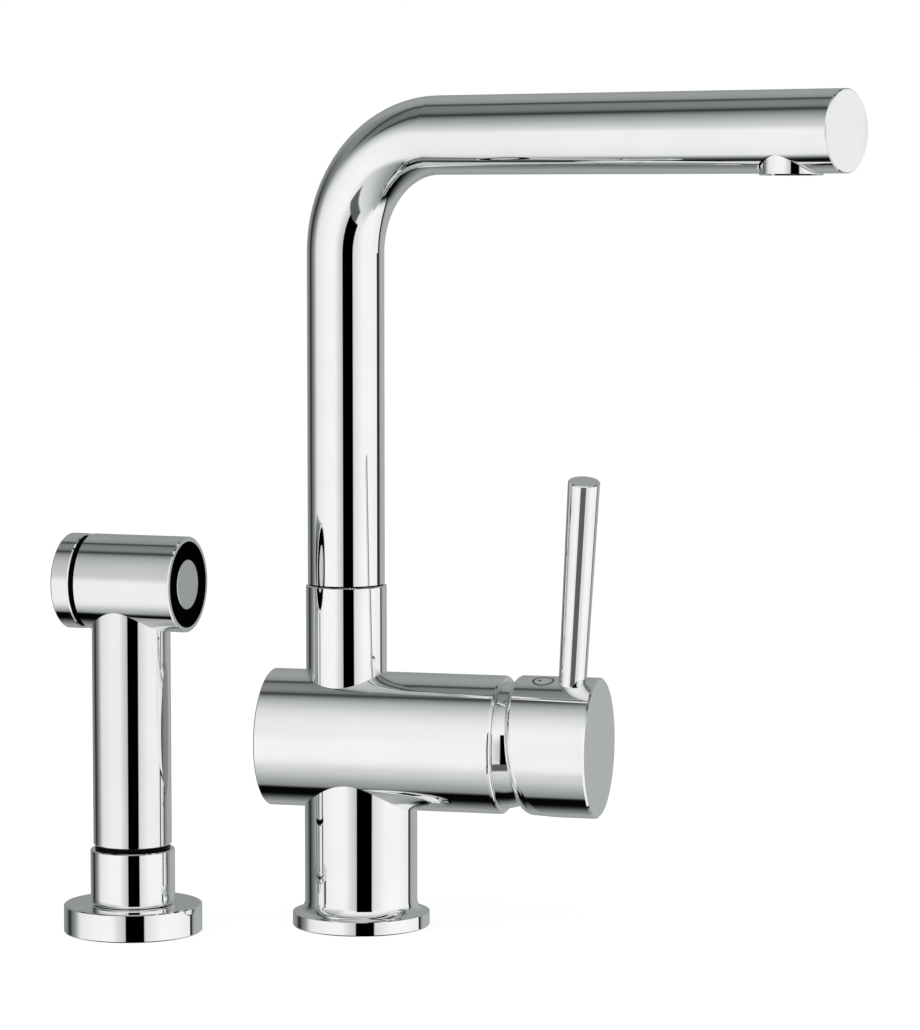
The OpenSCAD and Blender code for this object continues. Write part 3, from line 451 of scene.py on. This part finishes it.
def grow(name, grower, place, body, seats=((0, 0, 0),)):
    """Runs a grower on its seats and keeps what grew as one plain mesh."""
    seat_mesh = bpy.data.meshes.new(name + "_seats")
    seat_mesh.from_pydata([Vector(seat) for seat in seats], [], [])
    holder = bpy.data.objects.new(name + "_seats", seat_mesh)
    SCENE.collection.objects.link(holder)
    modifier = holder.modifiers.new("grow", "NODES")
    modifier.node_group = grower.tree
    for socket in grower.tree.interface.items_tree:
        if socket.name in grower.sizes:
            modifier[socket.identifier] = grower.sizes[socket.name]
    graph = bpy.context.evaluated_depsgraph_get()
    grown = bpy.data.meshes.new_from_object(holder.evaluated_get(graph), depsgraph=graph)
    bpy.data.objects.remove(holder)
    grown.transform(place)
    face_outwards(grown)
    return hand_over(name, grown, body)


def middle(node):
    low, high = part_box(node)
    return (low + high) / 2


def turned_place(point, x, y):
    """An upright place at a point, with its X along (x, y)."""
    return Matrix.Translation(point) @ Matrix.Rotation(math.atan2(y, x), 4, "Z")


# Hand spray's nozzles: the head's place is where its own axis meets the grip's, with X towards the button

GRIP = Vector(JOINTS["spray_turn"]["pos_m"])
TO_BUTTON = -Vector(JOINTS["button_press"]["axis"])
HEAD = turned_place((GRIP.x, GRIP.y, middle("nozzle_plate").z), TO_BUTTON.x, TO_BUTTON.y)
NOZZLE_TIP_X = -0.0237
NOZZLE_TIPS = HEAD @ Matrix.Translation((NOZZLE_TIP_X, 0, 0))
NOZZLE_COUNT = 37
NOZZLE_PITCH = 0.0036
LIP_RADIUS = 0.00058
LIP_THICKNESS = 0.0002
# Painted shade in the nozzles: a thin black disc the size of each bore sits at its mouth, in place of the dark
# inside the hole.
SHADE_DISC_RADIUS = 0.00036
SHADE_DISC_THICKNESS = 0.00008
ALONG_X = (0, math.pi / 2, 0)


def nozzle_points(t):
    """One point in the middle and three rings round it, each ring of six more than the last.

    The middle and its first n rings hold 3 n (n + 1) + 1 points, so an index gives its ring by a root.
    The slack keeps a ring's last point out of the next ring, where its root is rounded up.
    """
    slack = 0.001
    index = t.add("GeometryNodeInputIndex").outputs[0]
    root = t.maths("SQRT", t.maths("MULTIPLY_ADD", index, 12.0, 9.0))
    ring = t.maths("CEIL", t.maths("MULTIPLY_ADD", root, 1 / 6, -0.5 - slack))
    first = t.maths("MULTIPLY_ADD", t.product(ring, t.maths("SUBTRACT", ring, 1.0)), 3.0, 1.0)
    step = t.maths("DIVIDE", t.maths("SUBTRACT", index, first), t.maths("MAXIMUM", ring, 1.0))
    turn = t.product(step, math.pi / 3)
    radius = t.product(ring, t.size["Pitch"])
    return t.points(t.size["Nozzles"], 0.0, t.product(radius, t.maths("SINE", turn), -1.0),
                    t.product(radius, t.maths("COSINE", turn)))


def make_nozzle_lips():
    """A soft rounded lip round each nozzle's tip."""
    t = Grower("nozzle_lips", {"Nozzles": NOZZLE_COUNT, "Pitch": NOZZLE_PITCH, "Lip radius": LIP_RADIUS,
                               "Lip thickness": LIP_THICKNESS})
    lip = t.swept(t.hoop(t.size["Lip radius"], 16), t.hoop(t.size["Lip thickness"], 6))
    t.end(t.put_on(nozzle_points(t), lip, Rotation=ALONG_X), GREY_RUBBER)
    grow("nozzle_lips", t, NOZZLE_TIPS, "hand_spray")


def make_nozzle_shade_discs():
    """A thin black disc in each nozzle's mouth: painted shade that stands in for the dark inside the open bore."""
    t = Grower("nozzle_jets", {"Nozzles": NOZZLE_COUNT, "Pitch": NOZZLE_PITCH, "Shade disc radius": SHADE_DISC_RADIUS,
                               "Depth": SHADE_DISC_THICKNESS})
    # Each disc is painted shade: black rubber where the open bore would look dark.
    bore = t.add("GeometryNodeMeshCylinder", {"Vertices": 12, "Radius": t.size["Shade disc radius"],
                                              "Depth": t.size["Depth"]}).outputs["Mesh"]
    t.end(t.put_on(nozzle_points(t), bore, Rotation=ALONG_X), BLACK_RUBBER)
    grow("nozzle_jets", t, NOZZLE_TIPS, "hand_spray")


# Aerator's honeycomb, in line with the spout's run

SWIVEL = Vector(JOINTS["spout_swivel"]["pos_m"])
COMB = middle("aerator_insert")
COMB.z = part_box("aerator_insert")[0].z
COMB_RUN = COMB - SWIVEL
CELLS_ACROSS = 11
CELL_PITCH = 0.0019
CELL_RADIUS = 0.0007
RIM_THICKNESS = 0.00011
COMB_RADIUS = 0.007


def make_comb_rims():
    """A fine rim round each six-sided cell's mouth. Of a square of rows, only its round middle stays."""
    t = Grower("comb_rims", {"Side": CELLS_ACROSS, "Pitch": CELL_PITCH, "Cell radius": CELL_RADIUS,
                             "Rim thickness": RIM_THICKNESS, "Comb radius": COMB_RADIUS})
    index = t.add("GeometryNodeInputIndex").outputs[0]
    side, pitch = t.size["Side"], t.size["Pitch"]
    half = t.maths("FLOOR", t.maths("DIVIDE", side, 2.0))
    column = t.maths("SUBTRACT", t.maths("MODULO", index, side), half)
    row = t.maths("SUBTRACT", t.maths("FLOOR", t.maths("DIVIDE", index, side)), half)
    shift = t.product(t.maths("MODULO", t.maths("ABSOLUTE", row), 2.0), 0.5)
    x = t.product(t.maths("ADD", column, shift), pitch)
    y = t.product(row, math.sin(math.pi / 3), pitch)
    reach = t.maths("SQRT", t.maths("ADD", t.product(x, x), t.product(y, y)))
    inside = t.maths("LESS_THAN", reach, t.size["Comb radius"])
    rim = t.swept(t.hoop(t.size["Cell radius"], 6), t.hoop(t.size["Rim thickness"], 4))
    t.end(t.put_on(t.points(t.product(side, side), x, y, 0.0), rim, Selection=inside), GREY_PLASTIC)
    grow("comb_rims", t, turned_place(COMB, COMB_RUN.x, COMB_RUN.y), "spout")


# Threads in the sockets: a ridge winds up each wall, its middle sunk a little into it

RIDGE_SINK = 0.00005
RIDGE_SHARE = 0.42


def make_thread(name, material, body, mounts, start, pitch, turns):
    """One thread in each mount's socket, from the start height up. The sockets are of one bore."""
    bore = MOUNTS[mounts[0]]["dims"]["r_mm"] / 1000
    sizes = {"Radius": bore + RIDGE_SINK, "Pitch": pitch, "Turns": turns, "Ridge": pitch * RIDGE_SHARE}
    t = Grower(name, sizes)
    winding = t.winding(t.size["Radius"], t.product(t.size["Pitch"], t.size["Turns"]), t.size["Turns"])
    t.end(t.put_on(t.size["Seats"], t.swept(winding, t.hoop(t.size["Ridge"], 4))), material)
    seats = [(*MOUNTS[mount]["pos_m"][:2], start) for mount in mounts]
    grow(name, t, Matrix(), body, seats)


def make_threads():
    make_thread("plate_threads", BRASS, "root", ["inlet_front", "inlet_rear", "spray_outlet"],
                start=0.0008, pitch=0.001, turns=8.0)
    make_thread("hose_thread", BLACK_PLASTIC, "hose_end", ["hose_socket"],
                start=0.0132, pitch=0.0011, turns=6.5)


# Springs, wound from round wire: each one's room is closed up by the joint that presses it

WIRE = 0.0004
SPRING_PLAY = 0.0001
SPRING_ROOM = 0.006
SPRING_TURNS = 2.5
VALVE_SPRING_X = 0.0136
VALVE_SPRING_RADIUS = 0.005
DIVERTER_SPRING_Z = 0.0511
DIVERTER_SPRING_RADIUS = 0.0036


def make_spring(name, body, place, radius, joint):
    """A spring that stands at the place's origin, along its Z."""
    room, travel = SPRING_ROOM, JOINTS[joint]["range_m"][1]
    foot = WIRE + SPRING_PLAY
    t = Grower(name, {"Radius": radius, "Length": room - 2 * foot, "Wire": WIRE, "Turns": SPRING_TURNS})
    winding = t.winding(t.size["Radius"], t.size["Length"], t.size["Turns"])
    t.end(t.put_on(t.size["Seats"], t.swept(winding, t.hoop(t.size["Wire"], 12))), STEEL)
    spring = grow(name + "_coil", t, place @ Matrix.Translation((0, 0, foot)), body)
    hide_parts(name)
    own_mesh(spring)


def make_springs():
    across = HEAD @ Matrix.Translation((VALVE_SPRING_X, 0, 0)) @ Matrix.Rotation(math.pi / 2, 4, "Y")
    make_spring("valve_spring", "hand_spray", across, VALVE_SPRING_RADIUS, "button_press")
    upright = Matrix.Translation((SWIVEL.x, SWIVEL.y, DIVERTER_SPRING_Z))
    make_spring("diverter_spring", "root", upright, DIVERTER_SPRING_RADIUS, "diverter_drop")


# Hot and cold mark, filled with enamel: its place is on the cap's axis, with Z up through the mark

TILT_AXIS = Vector(JOINTS["flow_lift"]["axis"])
CAP_Z = JOINTS["flow_lift"]["pos_m"][2]
CAP_RADIUS = CAP_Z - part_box("handle_cap")[0].z
MARK_TILT = Matrix.Rotation(math.atan2(TILT_AXIS.z, TILT_AXIS.y), 4, "X")
MARK_PLACE = Matrix.Translation((middle("temperature_mark").x, 0, CAP_Z)) @ MARK_TILT
LINE_OUTER = 0.00395
LINE_INNER = 0.00335
DOT_X = -0.0013
DOT_RADIUS = 0.0006
ENAMEL_PROUD = 0.00002
ENAMEL_DEPTH = 0.0003


def enamel_loop(shape, centre_x, radius, lift, corners):
    """A round loop of points that lies on the cap's round side."""
    loop = []
    for i in range(corners):
        x = centre_x + radius * math.cos(2 * math.pi * i / corners)
        y = radius * math.sin(2 * math.pi * i / corners)
        z = math.sqrt(CAP_RADIUS ** 2 - y * y) + lift
        loop.append(shape.verts.new(MARK_PLACE @ Vector((x, y, z))))
    return loop


def join_loops(shape, a, b):
    for i in range(len(a)):
        j = (i + 1) % len(a)
        shape.faces.new((a[i], a[j], b[j], b[i]))


def make_mark_enamel():
    """A round line with a dot in it."""
    shape = bmesh.new()
    section = ((LINE_OUTER, ENAMEL_PROUD), (LINE_OUTER, -ENAMEL_DEPTH),
               (LINE_INNER, -ENAMEL_DEPTH), (LINE_INNER, ENAMEL_PROUD))
    line = [enamel_loop(shape, 0, radius, lift, corners=48) for radius, lift in section]
    for i in range(len(line)):
        join_loops(shape, line[i], line[(i + 1) % len(line)])
    top = enamel_loop(shape, DOT_X, DOT_RADIUS, ENAMEL_PROUD, corners=20)
    bottom = enamel_loop(shape, DOT_X, DOT_RADIUS, -ENAMEL_DEPTH, corners=20)
    join_loops(shape, top, bottom)
    shape.faces.new(top)
    shape.faces.new(bottom)
    mesh = bpy.data.meshes.new("mark_enamel")
    shape.to_mesh(mesh)
    shape.free()
    face_outwards(mesh)
    mesh.materials.append(ENAMEL)
    hand_over("mark_enamel", mesh, "handle")


make_camera()
make_studio()
make_floor()
make_lamp()
dress_nodes()
make_nozzle_lips()
make_nozzle_shade_discs()
make_comb_rims()
make_threads()
make_springs()
make_mark_enamel()

SCENE.view_settings.view_transform = "Standard"
